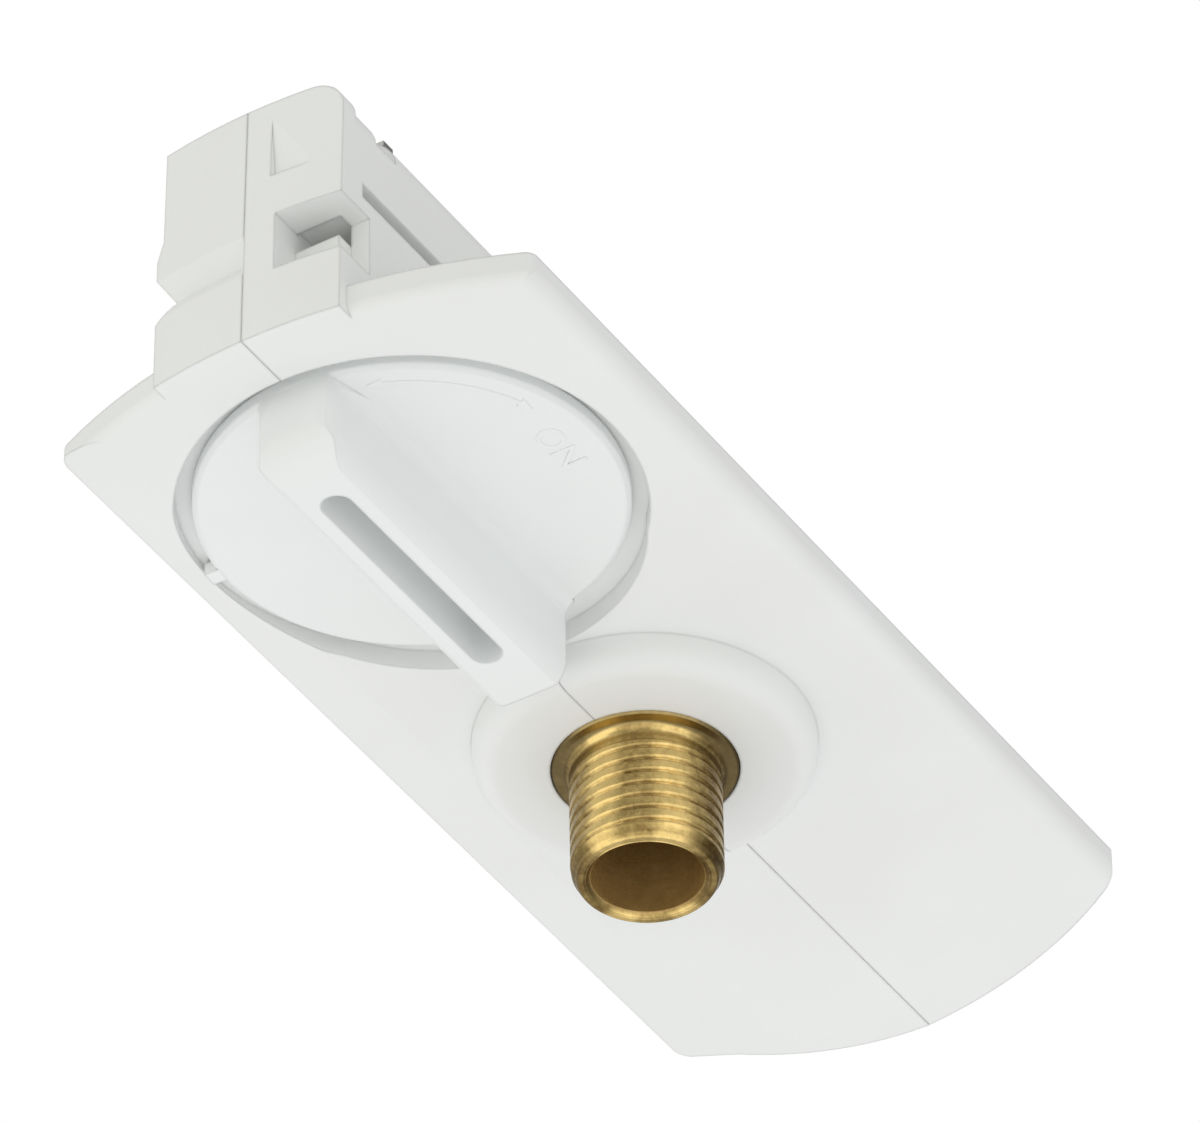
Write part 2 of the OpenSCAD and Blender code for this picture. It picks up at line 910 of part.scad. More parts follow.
// Contact rotor: carries the blades on its lower body and turns in the web on its upper journal
pin_screw_r = 0.95;
pin_head_r = 1.7;
pin_head_h = 1.1;
pin_head_in = 1.7;
pin_head_z = journal_top - pin_head_in;
pin_depth = 2;
peg_r = 0.55;
peg_place = (journal_r + rotor_r) / 2;

module contact_rotor() {
    color(insulator_grey)
        at_knob() {
            difference() {
                union() {
                    translate([0, 0, rotor_z])
                        cylinder(r = rotor_r, h = rotor_h);
                    translate([0, 0, blade_z - over])
                        cylinder(r = journal_r, h = journal_top - blade_z + over);
                    for (side = [-1, 1])
                        translate([side * peg_place, 0, blade_z - over])
                            cylinder(r = peg_r, h = over + blade_t - seat_fit, $fn = 32);
                }
                translate([0, 0, rotor_z - over])
                    linear_extrude(rotor_h + over)
                        square(stem_w + 2 * seat_fit, center = true);
                translate([0, 0, rotor_z])
                    cylinder(r = pin_screw_r + seat_fit, h = journal_top, $fn = 48);
                translate([0, 0, pin_head_z])
                    cylinder(r = pin_head_r + seat_fit, h = journal_top, $fn = 48);
            }
        }
}

module rotor_screw() {
    slot_w = 0.5;
    slot_d = 0.5;
    color(steel_grey)
        at_knob()
            difference() {
                union() {
                    translate([0, 0, blade_z - pin_depth])
                        cylinder(r = pin_screw_r, h = pin_head_z - blade_z + pin_depth, $fn = 48);
                    translate([0, 0, pin_head_z])
                        cylinder(r = pin_head_r, h = pin_head_h, $fn = 48);
                }
                translate([-pin_head_r - over, -slot_w / 2, pin_head_z + pin_head_h - slot_d])
                    cube([2 * (pin_head_r + over), slot_w, slot_d + over]);
            }
}

// Contact blade: half ring on the rotor and an arm with a round tip
module blade(turn) {
    tip = blade_r - blade_w / 2;
    split = 0.6;
    color(contact_copper)
        at_knob()
            rotate([0, 0, turn])
                translate([0, 0, blade_z])
                    linear_extrude(blade_t)
                        difference() {
                            union() {
                                intersection() {
                                    circle(rotor_r);
                                    span(-rotor_r, -split, -rotor_r, rotor_r);
                                }
                                span(-tip, -journal_r, -blade_w / 2, blade_w / 2);
                                translate([-tip, 0])
                                    circle(blade_w / 2);
                            }
                            circle(journal_r + seat_fit);
                            translate([-peg_place, 0])
                                circle(peg_r + seat_fit, $fn = 32);
                        }
}

module live_blade() {
    blade(0);
}

module neutral_blade() {
    blade(180);
}

// Threaded nipple: collar in the boss, smooth neck, thread and chamfered tip
module threaded_nipple() {
    chamfer = 0.55;
    proud = 0.1;
    color(brass_gold)
        rotate_extrude()
            polygon([
                [bore_r, tip_z],
                [thread_r - chamfer, tip_z],
                [thread_r, tip_z + chamfer],
                [thread_r, boss_z - proud],
                [collar_r, boss_z - proud],
                [collar_r, boss_z + collar_t],
                [thread_r, boss_z + collar_t],
                [thread_r, nipple_top],
                [bore_r, nipple_top]]);
}

// Earth tag: ring under the nut with a tongue that rises to the earth terminal
module earth_tag() {
    color(contact_copper) {
        difference() {
            union() {
                cylinder(r = nut_r, h = tag_t);
                block([0, -earth_w / 2, 0], [tag_leg_x + tag_t, earth_w / 2, tag_t]);
            }
            translate([0, 0, -over])
                cylinder(r = thread_r + thread_fit, h = tag_t + 2 * over);
        }
        block([tag_leg_x, -earth_w / 2, 0], [tag_leg_x + tag_t, earth_w / 2, term_z]);
    }
}

module lock_washer() {
    teeth = 12;
    notch_w = 0.9;
    notch_depth = 0.45;
    color(steel_grey)
        translate([0, 0, tag_t])
            linear_extrude(washer_t)
                difference() {
                    circle(nut_r - seat_fit);
                    circle(thread_r + thread_fit);
                    for (k = [0 : teeth - 1])
                        rotate(k * 360 / teeth)
                            span(nut_r - notch_depth, nut_r + over, -notch_w / 2, notch_w / 2);
                }
}

module nipple_nut() {
    slots = 4;
    slot_w = 2;
    slot_d = 0.9;
    color(brass_gold)
        difference() {
            translate([0, 0, nut_z])
                cylinder(r = nut_r, h = nut_h);
            cylinder(r = thread_r + thread_fit, h = nut_top + over);
            for (k = [0 : slots - 1])
                rotate([0, 0, 45 + k * 360 / slots])
                    block([thread_r - over, -slot_w / 2, nut_top - slot_d],
                        [nut_r + over, slot_w / 2, nut_top + over]);
        }
}

// Terminal block with a wire hole along X and a clamp screw from above
wire_rise = 2.2;
wire_z = term_z + wire_rise;

module terminal(x, y) {
    color(brass_gold)
        difference() {
            block([x, y - term_w / 2, term_z], [x + term_l, y + term_w / 2, term_top]);
            translate([x - over, y, wire_z])
                rotate([0, 90, 0])
                    cylinder(r = wire_r, h = term_l + 2 * over, $fn = 48);
            translate([x + term_l / 2, y, wire_z])
                cylinder(r = clamp_r + seat_fit, h = term_h, $fn = 48);
        }
}

module live_terminal() {
    terminal(term_x, -term_y - term_w / 2);
}

module neutral_terminal() {
    terminal(term_x, term_y + term_w / 2);
}

module earth_terminal() {
    terminal(earth_term_x, 0);
}

module clamp_screw(x, y) {
    slot_w = 0.5;
    slot_d = 0.8;
    head_out = 0.9;
    foot_z = wire_z + wire_r / 2;
    top = term_top + head_out;
    translate([x + term_l / 2, y, 0])
        difference() {
            translate([0, 0, foot_z])
                cylinder(r = clamp_r, h = top - foot_z, $fn = 48);
            block([-clamp_r - over, -slot_w / 2, top - slot_d], [clamp_r + over, slot_w / 2, top + over]);
        }
}

module terminal_screws() {
    color(steel_grey) {
        clamp_screw(term_x, -term_y - term_w / 2);
        clamp_screw(term_x, term_y + term_w / 2);
        clamp_screw(earth_term_x, 0);
    }
}

// Insulating card between the live and neutral terminals, held in a groove of the floor
barrier_t = 0.4;
barrier_foot = 0.6;
barrier_rise = 2;

module barrier_card(grow) {
    block([term_x - grow, -barrier_t / 2 - grow, term_z - barrier_foot],
        [term_x + term_l + grow, barrier_t / 2 + grow, term_top + barrier_rise]);
}

module terminal_barrier() {
    color(insulator_grey)
        barrier_card(0);
}

// Contact strip: foot on the terminal, rail along the wall, finger over the blade's half ring
module contact_strip(side, finger_x) {
    outer = side * (cavity_half_w - wall_room);
    inner = side * (cavity_half_w - wall_room - strip_t);
    foot_in = side * (term_y + strip_foot_in);
    foot_l = term_l / 2 - clamp_r - screw_clear;
    finger_in = side * (finger_r - strip_foot_in);
    y0 = min(outer, inner);
    y1 = max(outer, inner);
    color(contact_copper) {
        block([finger_x - finger_w / 2, y0, strip_z], [term_x + foot_l, y1, strip_z + strip_h]);
        block([term_x, y0, term_top], [term_x + foot_l, y1, strip_z + strip_h]);
        block([term_x, min(outer, foot_in), term_top],
            [term_x + foot_l, max(outer, foot_in), term_top + strip_t]);
        block([finger_x - finger_w / 2, min(outer, finger_in), strip_z],
            [finger_x + finger_w / 2, max(outer, finger_in), strip_z + strip_t]);
    }
}

module live_strip() {
    contact_strip(-1, knob_x - finger_r * sin(45));
}

module neutral_strip() {
    contact_strip(1, knob_x + finger_r * sin(45));
}

// Earth contact: bent strip from the earth terminal to the hump that stands out of the body's top,
// with a tip that reaches sideways over the wall
module earth_contact() {
    foot_x = earth_term_x + term_l / 2 + clamp_r + screw_clear;
    end_x = earth_term_x + term_l;
    top = earth_z + earth_t;
    crest = body_h + hump_h;
    color(steel_grey)
        translate([0, earth_y, 0]) {
            along_y(0, earth_w)
                polygon([
                    [hump_x - hump_half, top],
                    [hump_x - crest_half, crest],
                    [hump_x + crest_half, crest],
                    [hump_x + hump_half, top],
                    [end_x, top],
                    [end_x, term_top],
                    [foot_x, term_top],
                    [foot_x, term_top + earth_t],
                    [end_x - earth_t, term_top + earth_t],
                    [end_x - earth_t, earth_z],
                    [hump_x + hump_half - earth_t, earth_z],
                    [hump_x + crest_half - earth_t, crest - earth_t],
                    [hump_x - crest_half + earth_t, crest - earth_t],
                    [hump_x - hump_half + earth_t, top]]);
            block([hump_x - tip_half, -tip_out, crest - earth_t],
                [hump_x + tip_half, earth_w / 2, crest]);
        }
}

module housing_screws() {
    head_y = body_left - shoulder_in - screw_head_h;
    tip_room = 0.5;
    head_in = 0.2;
    slot_w = 0.6;
    slot_d = 0.7;
    length = head_y + body_right - screw_end_wall - tip_room;
    color(steel_grey)
        for (p = screw_places)
            translate([p[0], 0, p[1]])
                rotate([90, 0, 0])
                    difference() {
                        union() {
                            translate([0, 0, -head_y])
                                cylinder(r = screw_r, h = length, $fn = 48);
                            translate([0, 0, -head_y - screw_head_h + head_in])
                                cylinder(r = screw_head_r, h = screw_head_h - head_in, $fn = 48);
                        }
                        translate([-screw_head_r - over, -slot_w / 2, -head_y - screw_head_h])
                            cube([2 * (screw_head_r + over), slot_w, slot_d + head_in]);
                    }
}

housing_left();
housing_right();
lock_knob();
locking_cam();
contact_rotor();
live_blade();
neutral_blade();
rotor_screw();
threaded_nipple();
earth_tag();
lock_washer();
nipple_nut();
live_terminal();
neutral_terminal();
earth_terminal();
terminal_screws();
terminal_barrier();
live_strip();
neutral_strip();
earth_contact();
housing_screws();
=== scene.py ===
# %% [markdown]
# # A track light adapter in white plastic and brass
# The adapter clicks into a lighting track and holds a pendant lamp by a short brass tube. Its solids are
# already packed, at their real size. This lesson sets up the view, gives every surface its finish and
# models what the solids leave out: the tube's thread, the raised lettering on the knob and the full depth
# of the slot in its bar.

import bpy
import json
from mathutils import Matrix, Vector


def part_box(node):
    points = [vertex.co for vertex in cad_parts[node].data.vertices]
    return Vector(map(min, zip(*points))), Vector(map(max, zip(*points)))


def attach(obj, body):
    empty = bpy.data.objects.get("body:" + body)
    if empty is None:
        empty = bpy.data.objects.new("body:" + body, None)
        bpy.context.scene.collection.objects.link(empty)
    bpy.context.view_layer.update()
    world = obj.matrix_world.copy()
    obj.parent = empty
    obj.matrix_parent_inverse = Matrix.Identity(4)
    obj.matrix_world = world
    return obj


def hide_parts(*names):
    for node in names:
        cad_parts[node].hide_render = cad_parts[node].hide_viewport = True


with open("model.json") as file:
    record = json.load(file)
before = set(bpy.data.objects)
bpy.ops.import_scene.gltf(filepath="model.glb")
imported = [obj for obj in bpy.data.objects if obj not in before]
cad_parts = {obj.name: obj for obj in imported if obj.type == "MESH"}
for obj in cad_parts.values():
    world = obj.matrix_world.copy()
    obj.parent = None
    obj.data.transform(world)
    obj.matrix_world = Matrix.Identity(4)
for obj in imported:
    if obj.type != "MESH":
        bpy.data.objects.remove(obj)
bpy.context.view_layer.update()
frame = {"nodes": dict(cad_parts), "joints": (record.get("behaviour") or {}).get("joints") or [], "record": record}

import json
import math

import bpy
from mathutils import Euler, Vector

MM = 0.001

# %% [markdown]
# ## The camera
# The photograph looks up at the adapter from below, with a long lens, so lines that run away from us hardly
# converge. Azimuth and elevation say where the camera stands as seen from the point it looks at. The
# distance and the focal length set the scale, and a small roll levels the picture.

# %% Camera
aim = Vector((-7.8, -1.6, 7.0)) * MM
camera_azimuth = math.radians(-58.61)
camera_elevation = math.radians(-39.66)
camera_distance = 733.7 * MM
camera_roll = math.radians(-1.07)
focal_length_mm = 337.6
sensor_width_mm = 36.0
nearest_seen = 10 * MM
furthest_seen = 20.0

towards_camera = Vector((
    math.sin(camera_azimuth) * math.cos(camera_elevation),
    -math.cos(camera_azimuth) * math.cos(camera_elevation),
    math.sin(camera_elevation)))

bpy.ops.object.select_all(action="DESELECT")
bpy.ops.object.camera_add(location=aim + towards_camera * camera_distance)
camera = bpy.context.object
camera.name = "photo_camera"
level = towards_camera.to_track_quat("Z", "Y")
camera.rotation_euler = (level @ Euler((0, 0, camera_roll)).to_quaternion()).to_euler()
camera.data.lens = focal_length_mm
camera.data.sensor_fit = "HORIZONTAL"
camera.data.sensor_width = sensor_width_mm
camera.data.clip_start = nearest_seen
camera.data.clip_end = furthest_seen
camera_right = camera.rotation_euler.to_quaternion() @ Vector((1, 0, 0))
ahead = Vector((towards_camera.x, towards_camera.y, 0)).normalized()
bpy.context.scene.camera = camera
bpy.context.scene.view_settings.view_transform = "Standard"
print("camera at", [round(v, 3) for v in camera.location])

# %% [markdown]
# ## Sums of shader sockets
# A finish is easier to read as a sum than as a web of nodes. This small class wraps one output socket. The
# usual operators add the Math node that they stand for, and `node` adds any other node: first its settings,
# then the values or links of its sockets.

# %% A socket that can be added and multiplied
class Wire:
    """One output socket of a shader tree."""

    def __init__(self, tree, socket=None):
        self.tree = tree
        self.socket = socket

    def node(self, kind, settings=None, inputs=None, out=0):
        """Adds a node, gives it its settings and the values of its sockets, and returns one output."""
        made = self.tree.nodes.new(kind)
        for name, value in (settings or {}).items():
            setattr(made, name, value)
        for name, value in (inputs or {}).items():
            self.plug(made.inputs[name], value)
        return Wire(self.tree, made.outputs[out])

    def plug(self, target, value):
        """Links a wire to a socket, or sets the socket to a constant."""
        if isinstance(value, Wire):
            self.tree.links.new(value.socket, target)
        else:
            target.default_value = value

    def output(self, name):
        """Another output of the node that this wire comes from."""
        return Wire(self.tree, self.socket.node.outputs[name])

    def math(self, operation, first, second=0.0):
        """A Math node on two values."""
        return self.node("ShaderNodeMath", {"operation": operation}, {0: first, 1: second})

    def __add__(self, other):
        return self.math("ADD", self, other)

    def __sub__(self, other):
        return self.math("SUBTRACT", self, other)

    def __rsub__(self, other):
        return self.math("SUBTRACT", other, self)

    def __mul__(self, other):
        return self.math("MULTIPLY", self, other)

    __radd__ = __add__
    __rmul__ = __mul__

    def clamp(self):
        """The value, held between 0 and 1."""
        return self.node("ShaderNodeClamp", inputs={"Value": self})

    def between(self, low, high):
        """0 where the value is below low, 1 above high, and a soft step from one to the other."""
        settings = {"interpolation_type": "SMOOTHSTEP"}
        return self.node("ShaderNodeMapRange", settings, {"Value": self, "From Min": low, "From Max": high})

    def blend(self, first, second):
        """A colour that runs from first to second as this value runs from 0 to 1."""
        mix = self.tree.nodes.new("ShaderNodeMix")
        mix.data_type = "RGBA"
        # a Mix node has sockets for each type of data, and these are the ones for colours
        colour_a, colour_b, result = mix.inputs[6], mix.inputs[7], mix.outputs[2]
        self.plug(mix.inputs[0], self)
        self.plug(colour_a, first)
        self.plug(colour_b, second)
        return Wire(self.tree, result)


print("a wire can:", [name for name in vars(Wire) if not name.startswith("_")])

# %% [markdown]
# Every finish starts from the same few steps: an empty material, noise whose lumps have a real size, and a
# surface whose edges look slightly round and that a pattern raises a little. Noise reads Object coordinates,
# which are metres in the shared frame.

# %% Steps that the finishes share
bevel_samples = 6


def new_finish(name):
    """An empty material with its shader node and a wire for its Object coordinates."""
    material = bpy.data.materials.new(name)
    material.use_nodes = True
    tree = material.node_tree
    shader = tree.nodes["Principled BSDF"]
    place = Wire(tree).node("ShaderNodeTexCoord", out="Object")
    return material, shader, place


def noise(place, size_mm, detail=2.0, rough=0.5):
    """Noise whose lumps are about size_mm across."""
    inputs = {"Vector": place, "Scale": 1.0 / (size_mm * MM), "Detail": detail, "Roughness": rough}
    return place.node("ShaderNodeTexNoise", inputs=inputs)


def raise_surface(shader, place, edge_mm, pattern, depth_mm, strength):
    """Rounds the edges for the light and raises the surface by a pattern."""
    edge = place.node("ShaderNodeBevel", {"samples": bevel_samples}, {"Radius": edge_mm * MM})
    inputs = {"Strength": strength, "Distance": depth_mm * MM, "Height": pattern, "Normal": edge}
    place.plug(shader.inputs["Normal"], place.node("ShaderNodeBump", inputs=inputs))


def set_finish(node_names, material):
    """Gives the solids of these nodes one finish."""
    for name in node_names:
        slots = frame["nodes"][name].data.materials
        slots.clear()
        slots.append(material)


print("nodes to finish:", sorted(frame["nodes"]))

# %% [markdown]
# ## White moulded plastic
# The shells are off-white plastic from a mould with a fine spark-eroded texture. Up close it is never one
# colour: large soft patches come from the way the plastic flowed, and a fine grain breaks the highlights.
# The edges of a moulding are slightly round. A Bevel node rounds them for the light, without a change to the
# solid. The raised lettering is so low that it needs a much smaller rounding than the rest of the knob.

# %% Plastic finishes
flow_mm = 14.0
speck_mm = 0.5
grain_mm = 0.18
grain_depth_mm = 0.006
grain_strength = 0.35
plastic_edge_mm = 0.3
relief_edge_mm = 0.03
plastic_ior = 1.46
plastic_shine = 0.35


def moulded_plastic(name, colour, patch_colour, rough, edge_mm=plastic_edge_mm):
    """Plastic with soft patches of a second colour, fine specks and a grain."""
    material, shader, place = new_finish(name)
    flow = noise(place, flow_mm, detail=3.0).between(0.3, 0.75)
    speck = noise(place, speck_mm)
    tone = (0.75 * flow + 0.25 * speck).clamp()
    place.plug(shader.inputs["Base Color"], tone.blend((*colour, 1), (*patch_colour, 1)))
    place.plug(shader.inputs["Roughness"], rough + 0.10 * (speck - 0.5) + 0.06 * flow)
    grain = noise(place, grain_mm, rough=0.6)
    raise_surface(shader, place, edge_mm, grain, grain_depth_mm, grain_strength)
    shader.inputs["IOR"].default_value = plastic_ior
    shader.inputs["Specular IOR Level"].default_value = plastic_shine
    return material


shell_white, shell_clouds, shell_rough = (0.875, 0.89, 0.885), (0.845, 0.855, 0.84), 0.48
knob_white, knob_clouds, knob_rough = (0.88, 0.90, 0.90), (0.86, 0.875, 0.87), 0.44
inner_grey, inner_clouds, inner_rough = (0.16, 0.16, 0.165), (0.12, 0.12, 0.125), 0.5
shell_plastic = moulded_plastic("shell_plastic_finish", shell_white, shell_clouds, shell_rough)
knob_plastic = moulded_plastic("knob_plastic_finish", knob_white, knob_clouds, knob_rough)
relief_plastic = moulded_plastic(
    "relief_plastic_finish", knob_white, knob_clouds, knob_rough, edge_mm=relief_edge_mm)
inner_plastic = moulded_plastic("inner_plastic_finish", inner_grey, inner_clouds, inner_rough)

set_finish(["housing_left", "housing_right"], shell_plastic)
set_finish(["lock_knob"], knob_plastic)
set_finish(["locking_cam", "contact_rotor", "terminal_barrier"], inner_plastic)
print("plastic finishes:", shell_plastic.name, knob_plastic.name, relief_plastic.name, inner_plastic.name)

# %% [markdown]
# ## Sizes of the threaded tube
# The brass tube is turned with a flat collar, a short smooth neck and a fine thread down to a chamfered tip.
# Its main sizes come from the packed part: the box of the solid and the two mounts on it. The brass finish
# needs them as well, because tarnish stays in the groove of the thread.

# %% Sizes of the tube
tube_low, tube_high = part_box("threaded_nipple")
tube_tip = tube_low[2]
tube_top = tube_high[2]
collar_r = tube_high[0]
mounts = {mount["name"]: mount["dims"] for mount in frame["record"]["mounts"]}
bore_r = mounts["cable_bore"]["r_mm"] * MM
crest_r = mounts["nipple_thread"]["r_mm"] * MM
boss_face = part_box("housing_right")[0][2]
pitch = 1.0 * MM
ridge_depth = 0.24 * MM
ridge_flat = 0.55
root_r = crest_r - ridge_depth
neck_r = crest_r - 0.1 * MM
neck_fillet = 0.7 * MM
thread_top = boss_face - 1.3 * MM
lip_r = crest_r - 0.42 * MM
lip_round = 0.1 * MM
tip_slope = 0.55
bore_chamfer = 0.32 * MM
collar_face = boss_face - 0.1 * MM
collar_top = boss_face + 1.3 * MM
collar_edge = 0.15 * MM
ring_groove = 0.07 * MM
print("tube from", round(tube_tip / MM, 2), "to", round(tube_top / MM, 2), "mm")

# %% [markdown]
# ## Copper and steel
# The blades, strips and earth tag are stamped from copper alloy, the screws and the washer are zinc-plated
# steel, and the earth contact is dull spring steel. One recipe serves for all: two shades of the metal in
# clouds, broken up by the marks of the tool. The marks are noise squeezed along one direction. On a turned
# piece they are bands in height that run round its axis, and on a stamped one stripes across its length.

# %% Metal finishes
tarnish_mm = 2.2
mark_mm = 1.1
mark_depth_mm = 0.008
mark_strength = 0.5
metal_edge_mm = 0.08
turned_squeeze = (0.35, 0.35, 6.0)
stamped_squeeze = (6.0, 0.5, 0.5)


def tool_marks(place, squeeze):
    """Noise squeezed along one direction, as a tool leaves it."""
    squeezed = place.node("ShaderNodeMapping", inputs={"Vector": place, "Scale": squeeze})
    return noise(squeezed, mark_mm, detail=4.0, rough=0.65)


def tarnish_clouds(place, marks):
    """How dull the metal is, in clouds that the tool marks break up."""
    clouds = noise(place, tarnish_mm, detail=6.0, rough=0.62).between(0.36, 0.68)
    return (0.55 * clouds + 0.7 * (marks - 0.35)).clamp()


def metal_surface(shader, place, rough, tarnish, marks):
    """Tarnish dulls the shine, and the marks break it up and stand out a little."""
    shine = (rough + 0.16 * tarnish + 0.12 * (marks - 0.5)).clamp()
    place.plug(shader.inputs["Roughness"], shine)
    raise_surface(shader, place, metal_edge_mm, marks, mark_depth_mm, mark_strength)


def plain_metal(name, bright, dull, rough, squeeze):
    """Metal in two shades, evenly worn."""
    material, shader, place = new_finish(name)
    marks = tool_marks(place, squeeze)
    tarnish = tarnish_clouds(place, marks)
    shader.inputs["Metallic"].default_value = 1.0
    place.plug(shader.inputs["Base Color"], tarnish.blend((*bright, 1), (*dull, 1)))
    metal_surface(shader, place, rough, tarnish, marks)
    return material


copper_bright, copper_dull, copper_rough = (0.70, 0.40, 0.24), (0.42, 0.22, 0.12), 0.32
zinc_bright, zinc_dull, zinc_rough = (0.66, 0.67, 0.69), (0.42, 0.42, 0.43), 0.34
spring_bright, spring_dull, spring_rough = (0.60, 0.60, 0.59), (0.38, 0.375, 0.37), 0.38
contact_copper = plain_metal(
    "contact_copper_finish", copper_bright, copper_dull, copper_rough, stamped_squeeze)
zinc_steel = plain_metal("zinc_steel_finish", zinc_bright, zinc_dull, zinc_rough, turned_squeeze)
spring_steel = plain_metal("spring_steel_finish", spring_bright, spring_dull, spring_rough, stamped_squeeze)

set_finish(["live_blade", "neutral_blade", "earth_tag", "live_strip", "neutral_strip"], contact_copper)
set_finish(["rotor_screw", "lock_washer", "terminal_screws", "housing_screws"], zinc_steel)
set_finish(["earth_contact"], spring_steel)
print("metal finishes:", contact_copper.name, zinc_steel.name, spring_steel.name)

# %% [markdown]
# ## Tarnished brass with painted light
# A brown skin of tarnish covers the tube, thickest in the groove of the thread. Painted shade darkens it down
# one flank, at the collar and the lip on the other flank too, and over the whole collar, which is also
# coloured greyer. Two upright bands, the front of the collar and three places on the lip are painted bright:
# painted highlights in place of mirrored light. In the bore the skin hardly mirrors. Each zone is a soft step
# in the distance from the axis, in the height or in the angle round the tube, which is counted from the angle
# where the painted light starts.

# %% Zones round the tube
# the angle round the tube from which the painted highlights and painted shade are counted
painted_light_zero = math.radians(211)
zone_edge = 0.1 * MM


def round_the_tube(place):
    """The distance from the tube's axis, the angle from where the painted light starts and the height."""
    flat = place.node("ShaderNodeVectorMath", {"operation": "MULTIPLY"}, {0: place, 1: (1, 1, 0)})
    radius = place.node("ShaderNodeVectorMath", {"operation": "LENGTH"}, {0: flat}, out="Value")
    turn_back = {"Vector": place, "Rotation": (0, 0, -painted_light_zero)}
    turned = place.node("ShaderNodeMapping", inputs=turn_back)
    axes = turned.node("ShaderNodeSeparateXYZ", inputs={"Vector": turned})
    angle = place.math("ARCTAN2", axes.output("Y"), axes.output("X"))
    return radius, angle, axes.output("Z")


def arc(angle, first_deg, last_deg, soft_deg):
    """1 between two angles round the tube, with soft ends."""
    half = math.radians(soft_deg / 2)
    first, last = math.radians(first_deg), math.radians(last_deg)
    return angle.between(first - half, first + half) - angle.between(last - half, last + half)


# for each arc: its first and last angle from where the painted light starts, and how wide its soft ends are, in
# degrees
# painted highlights in place of mirrored light: two upright bands, the front of the collar and three places on the
# lip
highlight_band_left, highlight_band_right = (-47, -22, 14), (8, 34, 17)
collar_front_highlight = (-25, 30, 28)
lip_front_highlight, lip_back_left_highlight, lip_back_right_highlight = (-40, 40, 25), (-168, -142, 14), (128, 158, 14)
# painted shade down the flanks, in place of darker mirrored light
shade_flank_left, shade_flank_right = (-138, -52, 20), (49, 138, 20)
print("painted light starts at", round(math.degrees(painted_light_zero)), "degrees round the tube")

# %% [markdown]
# The zones are then added up to one value, how dull the brass is from tarnish, painted shade and painted
# highlights, and that value blends bright brass into dull brass. The nut and the terminals are of the same
# brass. They lie further from the axis than the thread, so they get the grey and the painted shade of the collar.

# %% Brass finish
brass_bright, brass_dull, brass_rough = (0.75, 0.55, 0.215), (0.17, 0.105, 0.032), 0.2
collar_grey = (0.21, 0.16, 0.072)
bore_brown = (0.46, 0.27, 0.085)
mottle_mm = 0.45

brass_tarnish_and_painted_light, shader, place = new_finish("brass_tarnish_and_painted_light_finish")
radius, angle, height = round_the_tube(place)
in_groove = (1 - radius.between(root_r, crest_r)) * radius.between(root_r - zone_edge, root_r)
in_bore = 1 - radius.between(bore_r + 0.2 * zone_edge, bore_r + 1.2 * zone_edge)
on_collar = radius.between(crest_r + zone_edge, crest_r + 3 * zone_edge)
on_lip = 1 - height.between(tube_tip + 0.5 * zone_edge, tube_tip + 2.5 * zone_edge)

# painted highlights on the lip, on the two bands and on the front of the collar
lip_highlight = 0.2 * arc(angle, *lip_front_highlight) + arc(angle, *lip_back_left_highlight) + arc(angle, *lip_back_right_highlight)
bands_highlight = arc(angle, *highlight_band_left) + arc(angle, *highlight_band_right)
painted_highlight = (bands_highlight + on_collar * arc(angle, *collar_front_highlight) + on_lip * lip_highlight).clamp()
# painted shade on the flanks and over the whole collar
shaded = arc(angle, *shade_flank_right) + (on_collar + on_lip) * arc(angle, *shade_flank_left) + 0.5 * on_collar
mottle = noise(place, mottle_mm, detail=3.0, rough=0.7) - 0.5
marks = tool_marks(place, turned_squeeze)
clouds = tarnish_clouds(place, marks) - 0.4
# how dull the brass is: tarnish, thickest in the groove, with the painted highlights and the painted shade added
# in
dullness_with_painted_light = 0.58 - 0.5 * painted_highlight + 0.25 * shaded + 0.25 * in_groove - 0.1 * in_bore
tarnish = (dullness_with_painted_light + 0.9 * mottle + 0.5 * clouds).clamp()

brass = tarnish.blend((*brass_bright, 1), (*brass_dull, 1))
# the collar, and all that lies as far from the axis, is coloured greyer
brass = (0.75 * on_collar).blend(brass, (*collar_grey, 1))
brass = (in_bore * (0.1 + 0.9 * marks)).blend(brass, (*bore_brown, 1))
place.plug(shader.inputs["Base Color"], brass)
place.plug(shader.inputs["Metallic"], 1 - 0.6 * in_bore)
metal_surface(shader, place, brass_rough, tarnish, marks)

set_finish(["threaded_nipple", "nipple_nut"], brass_tarnish_and_painted_light)
set_finish(["live_terminal", "neutral_terminal", "earth_terminal"], brass_tarnish_and_painted_light)
print("brass finish:", brass_tarnish_and_painted_light.name, "with", len(brass_tarnish_and_painted_light.node_tree.nodes), "nodes")

# %% [markdown]
# ## The threaded tube
# The tube is made as on a lathe. Its outline runs from the bore round the tip, up the outside, round the
# collar and back down the bore, and a Screw modifier sweeps it once round the axis. Then the thread is cut:
# every point of the threaded stretch moves in by the depth of the groove at its height and angle.

# %% Draw an outline
weld = 0.001 * MM


def start_mesh(name):
    """A new mesh object in edit mode that holds one selected vertex at the origin."""
    if bpy.context.mode != "OBJECT":
        bpy.ops.object.mode_set(mode="OBJECT")
    bpy.ops.object.select_all(action="DESELECT")
    bpy.ops.mesh.primitive_plane_add(size=MM, location=(0, 0, 0))
    piece = bpy.context.object
    piece.name = name
    bpy.ops.object.mode_set(mode="EDIT")
    bpy.ops.mesh.select_mode(type="VERT")
    bpy.ops.mesh.select_all(action="SELECT")
    bpy.ops.mesh.merge(type="CENTER")
    return piece


